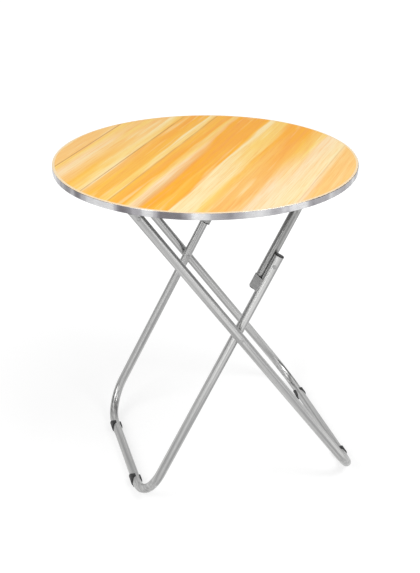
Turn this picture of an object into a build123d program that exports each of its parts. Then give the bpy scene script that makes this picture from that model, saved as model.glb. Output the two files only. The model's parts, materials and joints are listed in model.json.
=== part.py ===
from build123d import *
import math
import os

# A round folding table: a wood-effect top in a metal edge trim on two crossed U frames of bent tube.
# The outer legs hinge on brackets under one side of the top. The inner legs are riveted to the outer
# ones where they cross, and a short U-shaped stay, hung under the other side of the top, meets them at
# a knee and locks on them with a pressed clip. All four links lie flat under the top when it is folded.
# Millimetres. The origin is on the floor under the middle of the top, X runs from the inner legs' foot
# bar to the outer legs' foot bar, Y along the bars and Z up. "near" is the side at -Y.

# Top
TABLE_HEIGHT = 670.0
TOP_DIAMETER = 600.0
BOARD_THICKNESS = 12.7
BAND_WALL = 1.0
BAND_LIP = 0.8
BAND_LIP_REACH = 5.0
BAND_EDGE_RADIUS = 1.4

# Tube of all three frames
TUBE_DIAMETER = 19.0
TUBE_WALL = 1.2
LEG_BEND_RADIUS = 76.0
STAY_BEND_RADIUS = 42.0

# Where the frames stand and hang, in side view
FOOT_SOLE = 2.5
OUTER_FOOT_X = 270.0
INNER_FOOT_X = -183.5
HINGE_INSET = 8.8
HINGE_DROP = 11.0
STAY_X = 148.0
STAY_OFFSET = 4.5
KNEE_OFFSET = 1.8

# Spacing of the frames across the table
OUTER_HALF_WIDTH = 217.0
CROSS_SPACING = 22.5
KNEE_SPACING = 20.2

# Ends of the tubes: the outer legs' gap to the board, and the others past the knee
HINGE_END_GAP = 1.5
KNEE_END = 21.0
STAY_TAIL = 59.0

# Fits
RUNNING = 0.05
CLEAR = 0.3

# Rivets, pins, spacers and washers
PIVOT_RADIUS = 3.0
KNEE_RADIUS = 2.5
RIVET_HEAD_RADIUS = 4.2
RIVET_HEAD_HEIGHT = 1.3
TAIL_HEAD_RADIUS = 5.0
TAIL_HEAD_HEIGHT = 1.8
SPACER_RADIUS = 8.0
WASHER_RADIUS = 7.0

# Hinge bracket
BRACKET_SHEET = 1.6
BRACKET_BACK = 4.0
BRACKET_LENGTH = 56.0
BRACKET_WIDTH = 21.0
BRACKET_ROUND = 5.0
BRACKET_SCREWS = (8.0, 42.0)
CHEEK_LENGTH = 26.0
CHEEK_RADIUS = 8.0

# Stay saddle
SADDLE_SHEET = 1.6
SADDLE_WIDTH = 20.0
SADDLE_FLANGE = 15.0
SADDLE_ROUND = 5.0
SADDLE_Y = 100.0

# Wood screws
SCREW_RADIUS = 2.0
SCREW_LENGTH = 11.0
SCREW_HEAD_RADIUS = 4.0
SCREW_HEAD_HEIGHT = 2.2
SCREW_POINT = 3.0

# Lock clip
CLIP_SHEET = 1.6
CLIP_LENGTH = 26.0
CLIP_HOOK = 35.0

# End plugs
PLUG_FLANGE = 2.6
PLUG_DOME = 1.0
PLUG_DEPTH = 10.0
PLUG_WALL = 1.8

# Saddle feet
FOOT_LENGTH = 24.0
FOOT_GRIP = 0.1
SOLE_WIDTH = 15.0
OUTER_TONGUE = 10.5
INNER_TONGUE = 5.0
TONGUE_RADIUS = 10.5

SIDES = {"near": -1, "far": 1}

# Sizes that follow from the above
tube_radius = TUBE_DIAMETER / 2
bore_radius = tube_radius - TUBE_WALL
underside = TABLE_HEIGHT - BOARD_THICKNESS
bar_height = tube_radius + FOOT_SOLE
inner_half_width = OUTER_HALF_WIDTH - CROSS_SPACING
stay_half_width = inner_half_width - KNEE_SPACING
outer_side = OUTER_HALF_WIDTH + tube_radius
hinge_x = -math.sqrt((TOP_DIAMETER / 2 - HINGE_INSET) ** 2 - outer_side**2)


def side_view(x, z):
    return Vector(x, 0, z)


def along(angle):
    return side_view(math.cos(angle), math.sin(angle))


def angle_of(vector):
    return math.atan2(vector.Z, vector.X)


# Pivots in side view. The stay lies beside the inner legs' line, STAY_OFFSET from it.
outer_foot = side_view(OUTER_FOOT_X, bar_height)
inner_foot = side_view(INNER_FOOT_X, bar_height)
hinge = side_view(hinge_x, underside - HINGE_DROP)
stay_bar = side_view(STAY_X, underside - tube_radius - CLEAR)

outer_angle = angle_of(hinge - outer_foot)
foot_to_stay = stay_bar - inner_foot
inner_angle = angle_of(foot_to_stay) - math.asin(STAY_OFFSET / foot_to_stay.length)
outer_up = along(outer_angle)
inner_up = along(inner_angle)
inner_left = along(inner_angle + math.pi / 2)

# The crossing is where the two leg lines meet.
span = inner_foot - outer_foot
cross_distance = (span.X * inner_up.Z - span.Z * inner_up.X) / math.sin(inner_angle - outer_angle)
crossing = outer_foot + outer_up * cross_distance

# The four links fold flat when hinge to crossing plus knee to stay bar equals the other two together.
reach = (crossing - hinge).length + (stay_bar - crossing).length - (stay_bar - hinge).length
knee = crossing + inner_up * (reach / 2) + inner_left * KNEE_OFFSET
knee_height = (knee - inner_foot).dot(inner_up)
knee_drop = (stay_bar - knee).dot(inner_up)


def y_rod(at, radius, y_start, y_end):
    """A rod along Y through a side-view point."""
    length = abs(y_end - y_start)
    return Pos(at.X, (y_start + y_end) / 2, at.Z) * Rot(X=90) * Cylinder(radius, length)


def bent_u(bar, direction, half_width, leg, bend):
    """A tube bent to a U: its bar along Y at a side-view point, its legs in the given direction."""
    plane = Plane(bar, x_dir=(0, 1, 0), z_dir=Vector(0, 1, 0).cross(direction))
    corners = [(-half_width, leg), (-half_width, 0), (half_width, 0), (half_width, leg)]
    path = plane * FilletPolyline(*corners, radius=bend)
    section = Plane(path @ 0, z_dir=path % 0) * (Circle(tube_radius) - Circle(bore_radius))
    return sweep(section, path=path)


def dome(at, y, side, radius, height):
    """A domed rivet head whose flat face is at y and whose crown points along side * Y."""
    crown = (radius**2 + height**2) / (2 * height)
    ball = Pos(at.X, side * (y + height - crown), at.Z) * Sphere(crown)
    return ball & y_rod(at, radius, side * y, side * (y + height))


def formed_seat(at, radius, y, side, axis_point, direction):
    """The underside of a rivet head, formed to the tube whose axis passes at y, on its side * Y side."""
    seat = y_rod(at, radius, y, y + side * tube_radius)
    tube = Plane(axis_point + Vector(0, y, 0), z_dir=direction)
    return seat - tube * Cylinder(tube_radius, 4 * TUBE_DIAMETER)


def seated_head(at, tube_y, side, axis_point, direction):
    """A domed rivet head set against a tube's outer side."""
    seat = formed_seat(at, RIVET_HEAD_RADIUS, side * tube_y, side, axis_point, direction)
    return seat + dome(at, tube_y + tube_radius, side, RIVET_HEAD_RADIUS, RIVET_HEAD_HEIGHT)


def tabletop_board():
    radius = TOP_DIAMETER / 2 - BAND_WALL
    board = Pos(0, 0, underside + BOARD_THICKNESS / 2) * Cylinder(radius, BOARD_THICKNESS)
    rebate_radius = TOP_DIAMETER / 2 - BAND_LIP_REACH
    rebate = Cylinder(radius + BAND_WALL, BAND_LIP) - Cylinder(rebate_radius, BAND_LIP)
    board -= Pos(0, 0, TABLE_HEIGHT - BAND_LIP / 2) * rebate
    for at in bracket_screw_points() + saddle_screw_points():
        board -= Pos(at.X, at.Y, underside) * Cylinder(SCREW_RADIUS, 2 * SCREW_LENGTH)
    return board


def edge_band():
    radius = TOP_DIAMETER / 2
    bottom = underside - BAND_LIP
    height = TABLE_HEIGHT - bottom
    outline = Pos(radius - BAND_LIP_REACH / 2, bottom + height / 2) * Rectangle(BAND_LIP_REACH, height)
    outline = fillet(outline.vertices().group_by(Axis.X)[-1], BAND_EDGE_RADIUS)
    hollow_width = BAND_LIP_REACH - BAND_WALL
    hollow = Rectangle(hollow_width, BOARD_THICKNESS - BAND_LIP)
    hollow_height = underside + (BOARD_THICKNESS - BAND_LIP) / 2
    outline -= Pos(radius - BAND_LIP_REACH + hollow_width / 2, hollow_height) * hollow
    return revolve(Plane.XZ * outline, axis=Axis.Z)


def outer_leg_frame():
    """The outer U, its leg ends cut level so that they lie close under the board."""
    leg = (hinge - outer_foot).length + 2 * TUBE_DIAMETER
    frame = bent_u(outer_foot, outer_up, OUTER_HALF_WIDTH, leg, LEG_BEND_RADIUS)
    wide = OUTER_HALF_WIDTH + TUBE_DIAMETER
    level = underside - HINGE_END_GAP
    frame -= Pos(0, 0, level + TABLE_HEIGHT / 2) * Box(2 * TABLE_HEIGHT, 2 * wide, TABLE_HEIGHT)
    frame -= y_rod(hinge, PIVOT_RADIUS + RUNNING, -wide, wide)
    return frame - y_rod(crossing, PIVOT_RADIUS, -wide, wide)


def inner_leg_frame():
    frame = bent_u(inner_foot, inner_up, inner_half_width, knee_height + KNEE_END, LEG_BEND_RADIUS)
    wide = inner_half_width + TUBE_DIAMETER
    frame -= y_rod(crossing, PIVOT_RADIUS + RUNNING, -wide, wide)
    return frame - y_rod(knee, KNEE_RADIUS, -wide, wide)


def support_stay_frame():
    frame = bent_u(stay_bar, -inner_up, stay_half_width, knee_drop + STAY_TAIL, STAY_BEND_RADIUS)
    wide = stay_half_width + TUBE_DIAMETER
    return frame - y_rod(knee, KNEE_RADIUS, -wide, wide)


def cheek_face():
    """How far out the bracket's cheek reaches: just short of the tube's inner side."""
    return OUTER_HALF_WIDTH - tube_radius - CLEAR


def bracket_screw_points():
    y = cheek_face() - (BRACKET_WIDTH + BRACKET_SHEET) / 2
    return [Vector(hinge_x + dx, side * y, underside - BRACKET_SHEET)
            for side in SIDES.values() for dx in BRACKET_SCREWS]


def hinge_bracket(side):
    """A base plate screwed to the board, with one cheek folded down beside the tube."""
    back = hinge_x - BRACKET_BACK
    middle_y = side * (cheek_face() - BRACKET_WIDTH / 2)
    plate = Pos(back + BRACKET_LENGTH / 2, middle_y) * RectangleRounded(
        BRACKET_LENGTH, BRACKET_WIDTH, BRACKET_ROUND)
    bracket = Pos(0, 0, underside - BRACKET_SHEET) * extrude(plate, BRACKET_SHEET)
    foot_line = Line((back + BRACKET_ROUND, underside), (back + CHEEK_LENGTH, underside))
    round_end = Pos(hinge.X, hinge.Z) * Circle(CHEEK_RADIUS)
    cheek = make_hull(foot_line.edges() + round_end.edges())
    cheek_y = side * (cheek_face() - BRACKET_SHEET / 2)
    bracket += Pos(0, cheek_y, 0) * extrude(Plane.XZ * cheek, BRACKET_SHEET / 2, both=True)
    bracket -= y_rod(hinge, PIVOT_RADIUS, cheek_y - BRACKET_SHEET, cheek_y + BRACKET_SHEET)
    for at in bracket_screw_points():
        bracket -= Pos(at) * Cylinder(SCREW_RADIUS, 4 * BRACKET_SHEET)
    return bracket


def hinge_pin(side):
    """A rivet pin through the cheek and the tube beside it."""
    tail = cheek_face() - BRACKET_SHEET
    head = outer_side + RUNNING
    pin = y_rod(hinge, PIVOT_RADIUS, side * tail, side * head)
    pin += dome(hinge, head, side, RIVET_HEAD_RADIUS, RIVET_HEAD_HEIGHT)
    return pin + dome(hinge, -tail, -side, TAIL_HEAD_RADIUS, TAIL_HEAD_HEIGHT)


def saddle_screw_offset():
    return tube_radius + CLEAR + SADDLE_SHEET + SADDLE_FLANGE / 2


def saddle_screw_points():
    offsets = (-saddle_screw_offset(), saddle_screw_offset())
    return [Vector(STAY_X + dx, side * SADDLE_Y, underside - SADDLE_SHEET)
            for side in SIDES.values() for dx in offsets]


def stay_saddle(side):
    """A strap bent round the stay's bar, with a screwed flange on each side of it."""
    inside = tube_radius + CLEAR
    outside = inside + SADDLE_SHEET
    drop = underside - stay_bar.Z
    strap = Circle(outside) + Pos(0, drop / 2) * Rectangle(2 * outside, drop)
    flange_width = 2 * (outside + SADDLE_FLANGE)
    strap += Pos(0, drop - SADDLE_SHEET / 2) * Rectangle(flange_width, SADDLE_SHEET)
    strap -= Circle(inside)
    strap -= Pos(0, outside) * Rectangle(2 * inside, 2 * outside)
    strap -= Pos(0, drop + outside) * Rectangle(2 * outside, 2 * outside)
    band = Pos(0, side * SADDLE_Y, 0) * extrude(
        Plane.XZ * Pos(stay_bar.X, stay_bar.Z) * strap, SADDLE_WIDTH / 2, both=True)
    footprint = Pos(STAY_X, side * SADDLE_Y) * RectangleRounded(flange_width, SADDLE_WIDTH, SADDLE_ROUND)
    band &= extrude(footprint, TABLE_HEIGHT)
    for at in saddle_screw_points():
        band -= Pos(at) * Cylinder(SCREW_RADIUS, 4 * SADDLE_SHEET)
    return band


def wood_screw(at):
    """A pan-head screw driven up into the board from the face at the given point."""
    shank = SCREW_LENGTH - SCREW_POINT
    screw = Pos(at) * Pos(0, 0, shank / 2) * Cylinder(SCREW_RADIUS, shank)
    screw += Pos(at) * Pos(0, 0, shank + SCREW_POINT / 2) * Cone(SCREW_RADIUS, SCREW_RADIUS / 4, SCREW_POINT)
    crown = (SCREW_HEAD_RADIUS**2 + SCREW_HEAD_HEIGHT**2) / (2 * SCREW_HEAD_HEIGHT)
    head = Pos(0, 0, crown - SCREW_HEAD_HEIGHT) * Sphere(crown)
    head &= Pos(0, 0, -SCREW_HEAD_HEIGHT / 2) * Cylinder(SCREW_HEAD_RADIUS, SCREW_HEAD_HEIGHT)
    return screw + Pos(at) * head


def cross_rivet(side):
    """A rivet from the outer tube's outer side to the inner tube's inner side."""
    tail = inner_half_width - tube_radius - RUNNING
    rivet = y_rod(crossing, PIVOT_RADIUS, side * tail, side * outer_side)
    rivet += seated_head(crossing, OUTER_HALF_WIDTH, side, crossing, outer_up)
    return rivet + dome(crossing, -tail, -side, TAIL_HEAD_RADIUS, TAIL_HEAD_HEIGHT)


def cross_spacer(side):
    """The spacer between the two leg tubes, which turns with the outer one."""
    start = inner_half_width + tube_radius + CLEAR
    end = OUTER_HALF_WIDTH - tube_radius
    spacer = y_rod(crossing, SPACER_RADIUS, side * start, side * end)
    return spacer - y_rod(crossing, PIVOT_RADIUS, side * start, side * end)


def knee_rivet(side):
    """The head side of a knee rivet: through the inner leg, ending short of the stay."""
    tail = stay_half_width + tube_radius + CLEAR
    rivet = y_rod(knee, KNEE_RADIUS, side * tail, side * (inner_half_width + tube_radius))
    on_axis = knee - inner_left * KNEE_OFFSET
    return rivet + seated_head(knee, inner_half_width, side, on_axis, inner_up)


def knee_washer(side):
    start = stay_half_width + tube_radius + CLEAR
    end = inner_half_width - tube_radius
    washer = y_rod(knee, WASHER_RADIUS, side * start, side * end)
    return washer - y_rod(knee, KNEE_RADIUS, side * start, side * end)


def knee_rivet_tail(side):
    """The tail side of a knee rivet: through the stay, its head on the stay's inner side."""
    away = STAY_OFFSET - KNEE_OFFSET
    face = math.sqrt(tube_radius**2 - (away + KNEE_RADIUS) ** 2)
    inner_side = stay_half_width - tube_radius
    tail = y_rod(knee, KNEE_RADIUS, side * inner_side, side * (stay_half_width + face))
    on_axis = knee + inner_left * away
    tail += formed_seat(knee, TAIL_HEAD_RADIUS, side * stay_half_width, -side, on_axis, inner_up)
    return tail + dome(knee, -inner_side, -side, TAIL_HEAD_RADIUS, TAIL_HEAD_HEIGHT)


def lock_clip(side):
    """A sheet clip that wraps the stay's tail, lies across to the inner leg and hooks over its crown."""
    tail_end = stay_bar - inner_up * (knee_drop + STAY_TAIL)
    plane = Plane(tail_end, x_dir=(0, 1, 0), z_dir=inner_up)
    left = 1 if plane.y_dir.dot(inner_left) > 0 else -1
    stay_at = Pos(side * stay_half_width, 0)
    leg_at = Pos(side * inner_half_width, -left * STAY_OFFSET)

    def wrapped(thickness):
        on_stay = stay_at * Circle(tube_radius + thickness)
        on_leg = leg_at * Circle(tube_radius + CLEAR + thickness)
        return make_hull(on_stay.edges() + on_leg.edges())

    strip = wrapped(CLIP_SHEET) - wrapped(0)
    tilt = math.degrees(math.atan2(-left * STAY_OFFSET, side * KNEE_SPACING))
    lower = Rectangle(4 * KNEE_SPACING, 2 * TUBE_DIAMETER)
    strip -= stay_at * Rot(Z=tilt) * Pos(0, -left * side * TUBE_DIAMETER) * lower
    hook_end = leg_at * Rot(Z=side * left * (90 - CLIP_HOOK)) * Pos(side * 2 * KNEE_SPACING, 0)
    strip -= hook_end * Pos(0, -left * TUBE_DIAMETER) * Rectangle(4 * KNEE_SPACING, 2 * TUBE_DIAMETER)
    return extrude(plane * strip, CLIP_LENGTH)


def end_plug(end, direction):
    """A plug pushed into a tube, with a thin domed flange over the tube's end."""
    flange = Cylinder(tube_radius, PLUG_FLANGE, align=(Align.CENTER, Align.CENTER, Align.MIN))
    flange = fillet(flange.edges().group_by(Axis.Z)[-1], PLUG_DOME)
    stem = Cylinder(bore_radius, PLUG_DEPTH, align=(Align.CENTER, Align.CENTER, Align.MAX))
    stem -= Cylinder(bore_radius - PLUG_WALL, PLUG_DEPTH, align=(Align.CENTER, Align.CENTER, Align.MAX))
    return Plane(end, z_dir=direction) * (flange + stem)


def foot_place(half_width):
    """How far out a foot sits: its end is where the bar starts to bend."""
    return half_width - LEG_BEND_RADIUS - FOOT_LENGTH / 2


def saddle_foot(bar_x, y, outward):
    """A foot snapped on a bar from below: a flat sole and a rounded tongue up each side."""
    bar = side_view(bar_x, bar_height)
    ends = (y - FOOT_LENGTH / 2, y + FOOT_LENGTH / 2)
    foot = y_rod(bar, bar_height, *ends)
    foot += Pos(bar_x, y, bar_height / 2) * Box(SOLE_WIDTH, FOOT_LENGTH, bar_height)
    foot -= y_rod(bar, tube_radius + FOOT_GRIP, *ends)
    tongues = None
    for way, rise in ((outward, OUTER_TONGUE), (-outward, INNER_TONGUE)):
        top = bar_height + rise
        outline = Pos(y, top / 2) * Rectangle(FOOT_LENGTH, top)
        outline = fillet(outline.vertices().group_by(Axis.Y)[-1], TONGUE_RADIUS)
        prism = extrude(Plane.YZ.offset(bar_x) * outline, way * bar_height)
        tongues = prism if tongues is None else tongues + prism
    return foot & tongues


def make_nodes():
    nodes = {
        "tabletop_board": tabletop_board(),
        "edge_band": edge_band(),
        "outer_leg_frame": outer_leg_frame(),
        "inner_leg_frame": inner_leg_frame(),
        "support_stay_frame": support_stay_frame(),
        "hinge_bracket_screws": Compound([wood_screw(at).solid() for at in bracket_screw_points()]),
        "stay_saddle_screws": Compound([wood_screw(at).solid() for at in saddle_screw_points()]),
    }
    leg_end = inner_foot + inner_up * (knee_height + KNEE_END)
    tail_end = stay_bar - inner_up * (knee_drop + STAY_TAIL)
    for name, side in SIDES.items():
        nodes[f"hinge_bracket_{name}"] = hinge_bracket(side)
        nodes[f"hinge_pin_{name}"] = hinge_pin(side)
        nodes[f"stay_saddle_{name}"] = stay_saddle(side)
        nodes[f"cross_rivet_{name}"] = cross_rivet(side)
        nodes[f"cross_spacer_{name}"] = cross_spacer(side)
        nodes[f"outer_foot_{name}"] = saddle_foot(OUTER_FOOT_X, side * foot_place(OUTER_HALF_WIDTH), 1)
        nodes[f"inner_foot_{name}"] = saddle_foot(INNER_FOOT_X, side * foot_place(inner_half_width), -1)
        nodes[f"knee_rivet_{name}"] = knee_rivet(side)
        nodes[f"knee_washer_{name}"] = knee_washer(side)
        nodes[f"knee_rivet_tail_{name}"] = knee_rivet_tail(side)
        nodes[f"lock_clip_{name}"] = lock_clip(side)
        across = Vector(0, side, 0)
        nodes[f"inner_leg_plug_{name}"] = end_plug(leg_end + across * inner_half_width, inner_up)
        nodes[f"stay_plug_{name}"] = end_plug(tail_end + across * stay_half_width, -inner_up)
    return nodes


os.makedirs("parts", exist_ok=True)
for node_name, shape in make_nodes().items():
    export_step(shape, f"parts/{node_name}.step")
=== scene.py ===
import json
import math

import bpy
from mathutils import Matrix, Vector


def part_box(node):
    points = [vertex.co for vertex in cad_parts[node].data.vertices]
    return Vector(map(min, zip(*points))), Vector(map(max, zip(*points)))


# A round folding table on a white floor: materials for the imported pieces, the photo's camera and
# soft light. Metres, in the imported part's own frame.

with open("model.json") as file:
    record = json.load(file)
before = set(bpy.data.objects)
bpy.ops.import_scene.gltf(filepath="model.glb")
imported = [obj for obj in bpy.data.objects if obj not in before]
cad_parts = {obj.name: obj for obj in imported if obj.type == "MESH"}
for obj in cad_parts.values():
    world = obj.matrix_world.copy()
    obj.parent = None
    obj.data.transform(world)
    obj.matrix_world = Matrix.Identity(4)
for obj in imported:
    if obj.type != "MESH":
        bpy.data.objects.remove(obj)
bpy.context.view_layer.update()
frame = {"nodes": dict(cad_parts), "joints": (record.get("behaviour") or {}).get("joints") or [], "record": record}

# Camera of the photo: image height and focal length in pixels, sensor in millimetres, angles in
# radians. At azimuth 0 it looks along +Y, and the elevation is how far it looks down.
IMAGE_HEIGHT = 573
SENSOR = 36.0
FOCAL_PIXELS = 1034.0
CAMERA_PLACE = Vector((-0.5167, -1.8800, 1.3176))
CAMERA_AZIMUTH = -0.2729
CAMERA_ELEVATION = 0.4447

# Plank print on the top: direction of the planks from +X, the print's half width across them, and the
# half width of a seam
PLANK_ANGLE = math.radians(54)
PRINT_HALF = 0.3
SEAM_HALF = 0.0013

# Places along the planks, from the middle of the top, between which the near ends' fields of colour
# give way to the far ends'
NEAR_END = -0.14
FAR_END = 0.14

# How far the flames of the wood push the fields' edges: a share of the print's width across the planks,
# and a length along them
FLAME_ACROSS = 0.01
FLAME_ALONG = 0.1

# Depth of the board's backing sheet and of the face of the trim's lip, which have tones of their own
SKIN = 0.0003

# Distances from a tube frame's bar, along its legs, between which its streaks turn from the bar's way
# to the legs'
BAR_END = 0.02
LEG_START = 0.07

# White floor: its grey for light that bounces off it, its grey where it is seen, and the glow that is
# added where it is seen, near the table and further out
FLOOR_HALF = 6.0
FLOOR_LIT = 0.8
FLOOR_SHOWN = 0.4
GLOW_NEAR = 0.69
GLOW_FAR = 0.9
GLOW_RISE_START = 0.4
GLOW_RISE_END = 1.4

# Strength of the white world for the light that it gives, and where it is seen
WORLD_LIT = 0.45
WORLD_SHOWN = 1.0

# Dark cards at both sides that only the metal mirrors
CARD_AWAY = 3.0
CARD_LOW = 0.9
CARD_HIGH = 3.4
CARD_GREY = 0.12

# Soft lamps: name, place, the point each is turned to, width, height, and power in watts
LAMPS = (
    ("key", (1.1, -1.5, 2.5), (0, 0, 0.4), 1.2, 1.2, 34),
    ("fill", (-2.0, -1.0, 1.9), (0, 0, 0.4), 1.6, 1.6, 29),
    ("strip_left", (-1.2, -2.2, 0.4), (0, 0, 0.35), 0.7, 1.0, 2.6),
    ("strip_right", (1.7, -1.8, 0.3), (0, 0, 0.35), 0.7, 1.0, 2.6),
)

joint_at = {joint["name"]: Vector(joint["pos_m"]) for joint in frame["joints"]}


def srgb(red, green, blue):
    """A colour as it looks on a screen, 0 to 255, as the linear colour that shaders take."""
    def linear(value):
        value /= 255
        return value / 12.92 if value <= 0.04045 else ((value + 0.055) / 1.055) ** 2.4
    return (linear(red), linear(green), linear(blue), 1.0)


def grey(value):
    """A linear grey from 0 to 1."""
    return (value, value, value, 1.0)


# Tones of the print
AMBER = srgb(252, 176, 0)
HONEY = srgb(252, 193, 60)
STRAW = srgb(253, 213, 110)
CREAM = srgb(254, 233, 180)
PEACH = srgb(252, 204, 122)
APRICOT = srgb(250, 193, 100)
BLUSH = srgb(254, 226, 186)
FAWN = srgb(240, 190, 124)
SHADE = srgb(250, 220, 150)
SEAM_BROWN = srgb(196, 122, 40)

# Fields of colour from the back left of the top (0) to its front right (1), at the planks' far ends
FAR_FIELDS = (
    (0.00, PEACH), (0.07, PEACH), (0.08, STRAW), (0.13, PEACH), (0.15, STRAW), (0.17, PEACH),
    (0.205, PEACH), (0.215, CREAM), (0.245, STRAW), (0.26, HONEY), (0.30, AMBER), (0.34, HONEY),
    (0.348, CREAM), (0.37, STRAW), (0.374, HONEY), (0.42, AMBER), (0.435, STRAW), (0.452, PEACH),
    (0.458, AMBER), (0.562, AMBER), (0.568, HONEY), (0.574, CREAM), (0.61, STRAW), (0.65, STRAW),
    (0.658, AMBER), (0.735, AMBER), (0.76, HONEY), (0.80, STRAW), (0.82, BLUSH), (0.898, CREAM),
    (0.915, PEACH), (1.00, PEACH),
)
# The same at the planks' near ends
NEAR_FIELDS = (
    (0.00, PEACH), (0.07, PEACH), (0.08, STRAW), (0.12, BLUSH), (0.16, PEACH), (0.19, HONEY),
    (0.23, STRAW), (0.254, CREAM), (0.262, APRICOT), (0.29, HONEY), (0.335, HONEY), (0.345, STRAW),
    (0.37, STRAW), (0.374, HONEY), (0.42, AMBER), (0.435, STRAW), (0.45, BLUSH), (0.475, FAWN),
    (0.485, AMBER), (0.52, AMBER), (0.53, HONEY), (0.568, AMBER), (0.574, CREAM), (0.63, CREAM),
    (0.66, STRAW), (0.69, APRICOT), (0.75, APRICOT), (0.775, BLUSH), (0.88, CREAM), (0.90, BLUSH),
    (0.915, PEACH), (1.00, PEACH),
)
# Seams on the same scale
SEAMS = (0.078, 0.258, 0.372, 0.9)

# Waves per metre of the print's noises: along the planks, across them and through the board
FLAMES = (3.0, 30, 30)
STREAKS = (3.5, 110, 110)
PALE_STREAKS = (4.5, 70, 70)
GRAIN = (14, 620, 620)
SEAM_FADING = (9, 2, 2)

# Trim: tones by the height of its waves, which are painted reflections in light and dark, waves per metre along X,
# Y and Z, where the waves start in their noise, which sets where the painted dark reflections fall, and the tone
# of the lip on the top, which is partly its own pale tone and partly a painted highlight
TRIM_PAINTED_REFLECTIONS = (
    (0.34, srgb(114, 111, 115)), (0.42, srgb(138, 136, 140)), (0.45, srgb(156, 154, 158)),
    (0.54, srgb(172, 171, 174)), (0.57, srgb(192, 192, 194)), (0.68, srgb(210, 210, 211)),
)
TRIM_WAVES = (24, 24, 4)
TRIM_FINE = (90, 90, 500)
TRIM_SHIFT = (6.7, 18.3, 0)
TRIM_LIP_TONE_AND_HIGHLIGHT = srgb(246, 221, 180)

# Tubes: waves per metre of the streaks along the legs, along Y and across both, and the dark and pale tones of the
# legs' streaks and of the stay's, which are darker as painted shade from the top above it
LEG_STREAKS = (3, 220, 220)
BAR_STREAKS = (220, 3, 220)
TUBE_TONES = (srgb(150, 150, 150), srgb(196, 196, 195))
STAY_SHADED_TONES = (srgb(130, 130, 129), srgb(170, 170, 169))

# Dark and pale tones of the other finishes
# The backing's greys are its own tone darkened with painted shade, which the tubes near it mirror
BACKING_SHADED_TONES = (srgb(118, 117, 115), srgb(136, 135, 132))
ZINC_TONES = (srgb(158, 158, 158), srgb(180, 180, 179))
PLASTIC_TONES = (srgb(16, 16, 17), srgb(32, 32, 33))


def new_material(name):
    """A new material, its node tree and its main shader."""
    made = bpy.data.materials.new(name)
    made.use_nodes = True
    return made, made.node_tree, made.node_tree.nodes["Principled BSDF"]


def set_inputs(tree, node, inputs):
    """Each named input of a node set to a value or linked from another node's output."""
    for key, value in inputs.items():
        if isinstance(value, bpy.types.NodeSocket):
            tree.links.new(value, node.inputs[key])
        else:
            node.inputs[key].default_value = value


def add(tree, kind, inputs=None, **settings):
    """A new node with its settings and inputs."""
    made = tree.nodes.new("ShaderNode" + kind)
    for key, value in settings.items():
        setattr(made, key, value)
    set_inputs(tree, made, inputs or {})
    return made


def object_place(tree):
    """The place in the part's own frame, which rides on the piece when it moves."""
    return add(tree, "TexCoord").outputs["Object"]


def axis_of(tree, vector, axis):
    return add(tree, "SeparateXYZ", {"Vector": vector}).outputs[axis]


def mapped(tree, vector, **inputs):
    """A vector scaled, turned and moved by the inputs of a Mapping node."""
    return add(tree, "Mapping", {"Vector": vector, **inputs}).outputs["Vector"]


def colour_ramp(tree, factor, stops):
    """The colour at a factor from 0 to 1, blended between stops of place and colour."""
    made = add(tree, "ValToRGB", {"Fac": factor})
    elements = made.color_ramp.elements
    while len(elements) < len(stops):
        elements.new(0.5)
    for element, (place, colour) in zip(elements, stops):
        element.position = place
        element.color = colour
    return made.outputs["Color"]


def two_tones(tree, value, tones, low=0.3, high=0.7):
    """A dark and a pale tone, blended by a noise value from low to high."""
    dark, pale = tones
    return colour_ramp(tree, value, ((low, dark), (high, pale)))


def noise(tree, vector, waves, detail):
    """Noise with the same waves per metre all ways."""
    made = add(tree, "TexNoise", {"Vector": vector, "Scale": waves, "Detail": detail})
    return made.outputs["Fac"]


def stretched_noise(tree, vector, waves, detail, shift=(0, 0, 0)):
    """Noise with its own waves per metre on each axis."""
    return noise(tree, mapped(tree, vector, Location=shift, Scale=waves), 1.0, detail)


def spread(tree, value, low, high, from_low=0.3, from_high=0.7):
    """A value between from_low and from_high, where noise mostly lies, spread from low to high."""
    made = add(tree, "MapRange", {"Value": value, "From Min": from_low, "From Max": from_high,
                                  "To Min": low, "To Max": high})
    return made.outputs["Result"]


def share_of(tree, value, start, end):
    """A share that goes from 0 to 1 as a value goes from start to end."""
    return spread(tree, value, 0.0, 1.0, start, end)


def between(tree, share, first, second):
    """A number that goes from first to second as a share goes from 0 to 1."""
    return spread(tree, share, first, second, 0.0, 1.0)


def math_node(tree, operation, first, second):
    made = add(tree, "Math", {0: first, 1: second}, operation=operation)
    return made.outputs["Value"]


def bump(tree, height, distance, strength):
    made = add(tree, "Bump", {"Height": height, "Distance": distance, "Strength": strength})
    return made.outputs["Normal"]


def mix(tree, blend, factor, first, second):
    made = add(tree, "MixRGB", {"Fac": factor, "Color1": first, "Color2": second}, blend_type=blend)
    return made.outputs["Color"]


def darkened(tree, colour, value, tone, share, low, high):
    """A colour that takes a share of a tone where a noise value is low, and stays where it is high."""
    return mix(tree, "MULTIPLY", share, colour, two_tones(tree, value, (tone, grey(1)), low, high))


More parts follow.
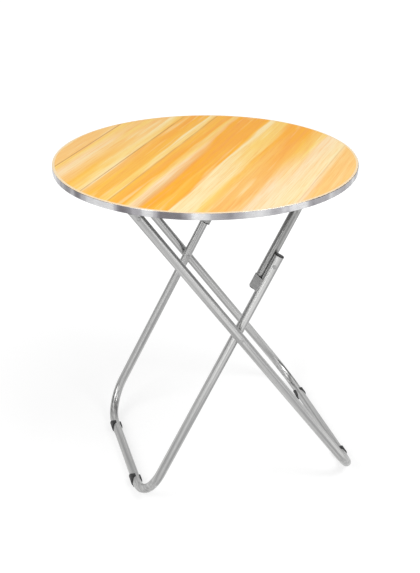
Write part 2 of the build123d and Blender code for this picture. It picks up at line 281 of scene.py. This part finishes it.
def plank_print(tree, place):
    """Long soft fields of colour along the planks, thin seams, streaks and fine grain."""
    along = mapped(tree, place, Rotation=(0, 0, -PLANK_ANGLE))
    across = share_of(tree, axis_of(tree, along, "Y"), PRINT_HALF, -PRINT_HALF)

    flames = stretched_noise(tree, along, FLAMES, detail=2.0)
    push_across = spread(tree, flames, -FLAME_ACROSS, FLAME_ACROSS)
    push_along = spread(tree, flames, -FLAME_ALONG, FLAME_ALONG)
    field = math_node(tree, "ADD", across, push_across)
    reach = math_node(tree, "ADD", axis_of(tree, along, "X"), push_along)
    fields = mix(tree, "MIX", share_of(tree, reach, NEAR_END, FAR_END),
                 colour_ramp(tree, field, NEAR_FIELDS), colour_ramp(tree, field, FAR_FIELDS))

    streak = stretched_noise(tree, along, STREAKS, detail=4.0)
    fields = darkened(tree, fields, streak, SHADE, share=0.35, low=0.36, high=0.56)
    pale_streak = stretched_noise(tree, along, PALE_STREAKS, detail=2.0)
    pale_share = two_tones(tree, pale_streak, (grey(0), grey(0.45)), low=0.56, high=0.7)
    fields = mix(tree, "MIX", pale_share, fields, CREAM)
    grain = stretched_noise(tree, along, GRAIN, detail=3.0)
    fields = darkened(tree, fields, grain, SHADE, share=0.5, low=0.36, high=0.5)

    seam_half = SEAM_HALF / (2 * PRINT_HALF)
    line_stops = [(0.0, grey(1))]
    for seam in SEAMS:
        line_stops += [(seam - seam_half, grey(1)), (seam, grey(0)), (seam + seam_half, grey(1))]
    fading = stretched_noise(tree, along, SEAM_FADING, detail=2.0)
    faded = spread(tree, fading, low=0.1, high=0.9, from_low=0.38, from_high=0.6)
    bare = math_node(tree, "MAXIMUM", colour_ramp(tree, across, line_stops), faded)
    fields = mix(tree, "MIX", bare, SEAM_BROWN, fields)
    return fields, streak, grain


def wood_effect_board():
    """The plank print on top, and a grey backing sheet on the underside, its own tone darkened with painted shade
    that the tubes near it mirror.
    """
    made, tree, shader = new_material("wood_effect_board")
    place = object_place(tree)
    print_colour, streak, grain = plank_print(tree, place)
    backing = two_tones(tree, noise(tree, place, waves=240.0, detail=4.0), BACKING_SHADED_TONES)
    low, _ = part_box("tabletop_board")
    upper = math_node(tree, "GREATER_THAN", axis_of(tree, place, "Z"), low.z + SKIN)
    set_inputs(tree, shader, {
        "Base Color": mix(tree, "MIX", upper, backing, print_colour),
        "Roughness": spread(tree, streak, low=0.34, high=0.46),
        "Specular IOR Level": 0.15,
        "Normal": bump(tree, grain, distance=0.0002, strength=0.15),
    })
    return made


def bright_trim():
    """Rolled bright strip, whose small waves bump its mirror, with light and dark painted reflections in its
    colour.
    """
    made, tree, shader = new_material("bright_trim")
    place = object_place(tree)
    waves = stretched_noise(tree, place, TRIM_WAVES, detail=1.0, shift=TRIM_SHIFT)
    fine = stretched_noise(tree, place, TRIM_FINE, detail=2.0)
    # Painted reflections: light and dark tones in the strip's colour that stand in for what its mirror shows
    painted_reflections = colour_ramp(tree, waves, TRIM_PAINTED_REFLECTIONS)
    painted_reflections = darkened(tree, painted_reflections, fine, grey(0.6), share=0.3, low=0.35, high=0.6)
    _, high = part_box("edge_band")
    lip = share_of(tree, axis_of(tree, place, "Z"), high.z - 2 * SKIN, high.z - SKIN)
    side_roughness = spread(tree, fine, low=0.18, high=0.3)
    lip_roughness = between(tree, lip, 0.0, 0.55)
    set_inputs(tree, shader, {
        # The lip's pale cream is partly its own tone and partly a painted highlight
        "Base Color": mix(tree, "MIX", lip, painted_reflections, TRIM_LIP_TONE_AND_HIGHLIGHT),
        "Metallic": between(tree, lip, 0.9, 0.1),
        "Roughness": math_node(tree, "MAXIMUM", side_roughness, lip_roughness),
        "Normal": bump(tree, waves, distance=0.002, strength=0.2),
    })
    return made


def leg_tube(name, bar, direction, tones):
    """Satin galvanised tube of a U frame, with drawn streaks along its bar and along its legs, which
    leave the bar in the direction given."""
    made, tree, shader = new_material(name)
    place = object_place(tree)
    tilt = math.atan2(direction.z, direction.x)
    along = mapped(tree, mapped(tree, place, Location=-bar), Rotation=(0, tilt, 0))
    leg_share = share_of(tree, axis_of(tree, along, "X"), BAR_END, LEG_START)
    leg_streak = stretched_noise(tree, along, LEG_STREAKS, detail=2.0)
    bar_streak = stretched_noise(tree, along, BAR_STREAKS, detail=2.0)
    streak = mix(tree, "MIX", leg_share, bar_streak, leg_streak)
    tone = two_tones(tree, streak, tones, low=0.34, high=0.66)
    clouds = noise(tree, place, waves=70.0, detail=4.0)
    set_inputs(tree, shader, {
        "Base Color": darkened(tree, tone, clouds, grey(0.72), share=0.12, low=0.35, high=0.6),
        "Metallic": 0.9,
        "Roughness": spread(tree, streak, low=0.28, high=0.36),
        "Normal": bump(tree, streak, distance=0.0001, strength=0.04),
    })
    return made


def zinc_hardware():
    """Dull zinc plate on pressed sheet and rivets."""
    made, tree, shader = new_material("zinc_hardware")
    clouds = noise(tree, object_place(tree), waves=180.0, detail=4.0)
    set_inputs(tree, shader, {
        "Base Color": two_tones(tree, clouds, ZINC_TONES),
        "Metallic": 0.5,
        "Roughness": spread(tree, clouds, low=0.42, high=0.56),
        "Normal": bump(tree, clouds, distance=0.0002, strength=0.2),
    })
    return made


def black_plastic():
    """Moulded black plastic with a fine spark grain."""
    made, tree, shader = new_material("black_plastic")
    place = object_place(tree)
    clouds = noise(tree, place, waves=90.0, detail=3.0)
    grain = noise(tree, place, waves=1400.0, detail=2.0)
    set_inputs(tree, shader, {
        "Base Color": two_tones(tree, clouds, PLASTIC_TONES),
        "Roughness": spread(tree, grain, low=0.42, high=0.6),
        "Normal": bump(tree, grain, distance=0.0002, strength=0.25),
    })
    return made


def bar_of(foot):
    """The middle of a foot bar, which runs along Y, from the near foot on it."""
    low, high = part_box(f"{foot}_near")
    return Vector(((low.x + high.x) / 2, 0, (low.z + high.z) / 2))


def dress_nodes():
    """Each piece in the material of its slot, and each tube frame in one with its own streaks."""
    hinge, crossing, stay_bar = (joint_at[name] for name in ("leg_fold", "leg_cross", "stay_swing"))
    outer_bar, inner_bar = bar_of("outer_foot"), bar_of("inner_foot")
    # The stay hangs nearly in line with the inner legs
    tubes = {
        "outer_leg_frame": leg_tube("leg_tube_outer", outer_bar, hinge - crossing, TUBE_TONES),
        "inner_leg_frame": leg_tube("leg_tube_inner", inner_bar, crossing - inner_bar, TUBE_TONES),
        # The stay's darker tones are painted shade from the top above it
        "support_stay_frame": leg_tube("leg_tube_stay", stay_bar, inner_bar - crossing, STAY_SHADED_TONES),
    }
    by_slot = {
        "wood_effect_board": wood_effect_board(),
        "bright_trim": bright_trim(),
        "zinc_hardware": zinc_hardware(),
        "black_plastic": black_plastic(),
    }
    for row in frame["record"]["subparts"]:
        slots = frame["nodes"][row["node"]].data.materials
        slots.clear()
        slots.append(tubes.get(row["node"]) or by_slot[row["material_slot"]])


def seen_directly(tree):
    """1 for a ray from the camera, a reflection or a refraction, and 0 for one that only lights."""
    path = add(tree, "LightPath").outputs
    seen = math_node(tree, "MAXIMUM", path["Is Camera Ray"], path["Is Glossy Ray"])
    return math_node(tree, "MAXIMUM", seen, path["Is Transmission Ray"])


def stage_plane(name, width, depth, place, turn=(0, 0, 0)):
    """A plane of the studio, which is no piece of the table."""
    bpy.ops.mesh.primitive_plane_add(size=1, location=place, rotation=turn)
    plane = bpy.context.object
    plane.name = name
    plane.scale = (width, depth, 1)
    return plane


def white_floor():
    """A floor that shows white and keeps the table's shadow."""
    floor = stage_plane("floor", 2 * FLOOR_HALF, 2 * FLOOR_HALF, (0, 0, 0))
    made, tree, shader = new_material("white_floor")
    tree.nodes.remove(shader)
    lit = add(tree, "BsdfDiffuse", {"Color": grey(FLOOR_LIT)})
    shown = add(tree, "BsdfDiffuse", {"Color": grey(FLOOR_SHOWN)})
    place = add(tree, "NewGeometry").outputs["Position"]
    away = add(tree, "VectorMath", {0: place}, operation="LENGTH").outputs["Value"]
    strength = spread(tree, away, GLOW_NEAR, GLOW_FAR, GLOW_RISE_START, GLOW_RISE_END)
    glow = add(tree, "Emission", {"Color": grey(1), "Strength": strength})
    lifted = add(tree, "AddShader", {0: shown.outputs[0], 1: glow.outputs[0]})
    both = add(tree, "MixShader", {"Fac": seen_directly(tree), 1: lit.outputs[0], 2: lifted.outputs[0]})
    set_inputs(tree, tree.nodes["Material Output"], {"Surface": both.outputs[0]})
    floor.data.materials.append(made)


def dark_cards():
    """Dark studio cards at both sides, which give the tubes their darker edges."""
    made, tree, shader = new_material("dark_card")
    set_inputs(tree, shader, {"Base Color": grey(CARD_GREY), "Roughness": 1.0})
    middle = (CARD_LOW + CARD_HIGH) / 2
    tall = CARD_HIGH - CARD_LOW
    upright = (0, math.pi / 2, 0)
    for name, place in (("card_left", -CARD_AWAY), ("card_right", CARD_AWAY)):
        card = stage_plane(name, tall, 2 * CARD_AWAY, (place, 0, middle), upright)
        card.data.materials.append(made)
        card.visible_camera = False
        card.visible_diffuse = False
        card.visible_shadow = False


def white_world():
    """A world that shows white and gives a plain, dimmer light."""
    world = bpy.data.worlds.new("white_world")
    bpy.context.scene.world = world
    world.use_nodes = True
    tree = world.node_tree
    strength = between(tree, seen_directly(tree), WORLD_LIT, WORLD_SHOWN)
    set_inputs(tree, tree.nodes["Background"], {"Color": grey(1), "Strength": strength})


def soft_box(name, place, target, width, height, power):
    """An area lamp, turned to its target, that the camera itself doesn't see."""
    light = bpy.data.lights.new(name, "AREA")
    light.shape = "RECTANGLE"
    light.size = width
    light.size_y = height
    light.energy = power
    lamp = bpy.data.objects.new(name, light)
    lamp.location = place
    lamp.rotation_euler = (Vector(target) - Vector(place)).to_track_quat("-Z", "Y").to_euler()
    lamp.visible_camera = False
    bpy.context.collection.objects.link(lamp)


def photo_camera():
    """The camera that was fitted to the photo."""
    back = Vector((math.sin(CAMERA_AZIMUTH) * math.cos(CAMERA_ELEVATION),
                   -math.cos(CAMERA_AZIMUTH) * math.cos(CAMERA_ELEVATION),
                   math.sin(CAMERA_ELEVATION)))
    right = Vector((math.cos(CAMERA_AZIMUTH), math.sin(CAMERA_AZIMUTH), 0))
    up = back.cross(right)
    turn = Matrix((right, up, back)).transposed().to_4x4()
    data = bpy.data.cameras.new("photo_camera")
    data.sensor_width = SENSOR
    data.lens = FOCAL_PIXELS / IMAGE_HEIGHT * SENSOR
    camera = bpy.data.objects.new("photo_camera", data)
    camera.matrix_world = Matrix.Translation(CAMERA_PLACE) @ turn
    bpy.context.collection.objects.link(camera)
    bpy.context.scene.camera = camera


dress_nodes()
white_floor()
dark_cards()
white_world()
for lamp in LAMPS:
    soft_box(*lamp)
photo_camera()
bpy.context.scene.view_settings.view_transform = "Standard"
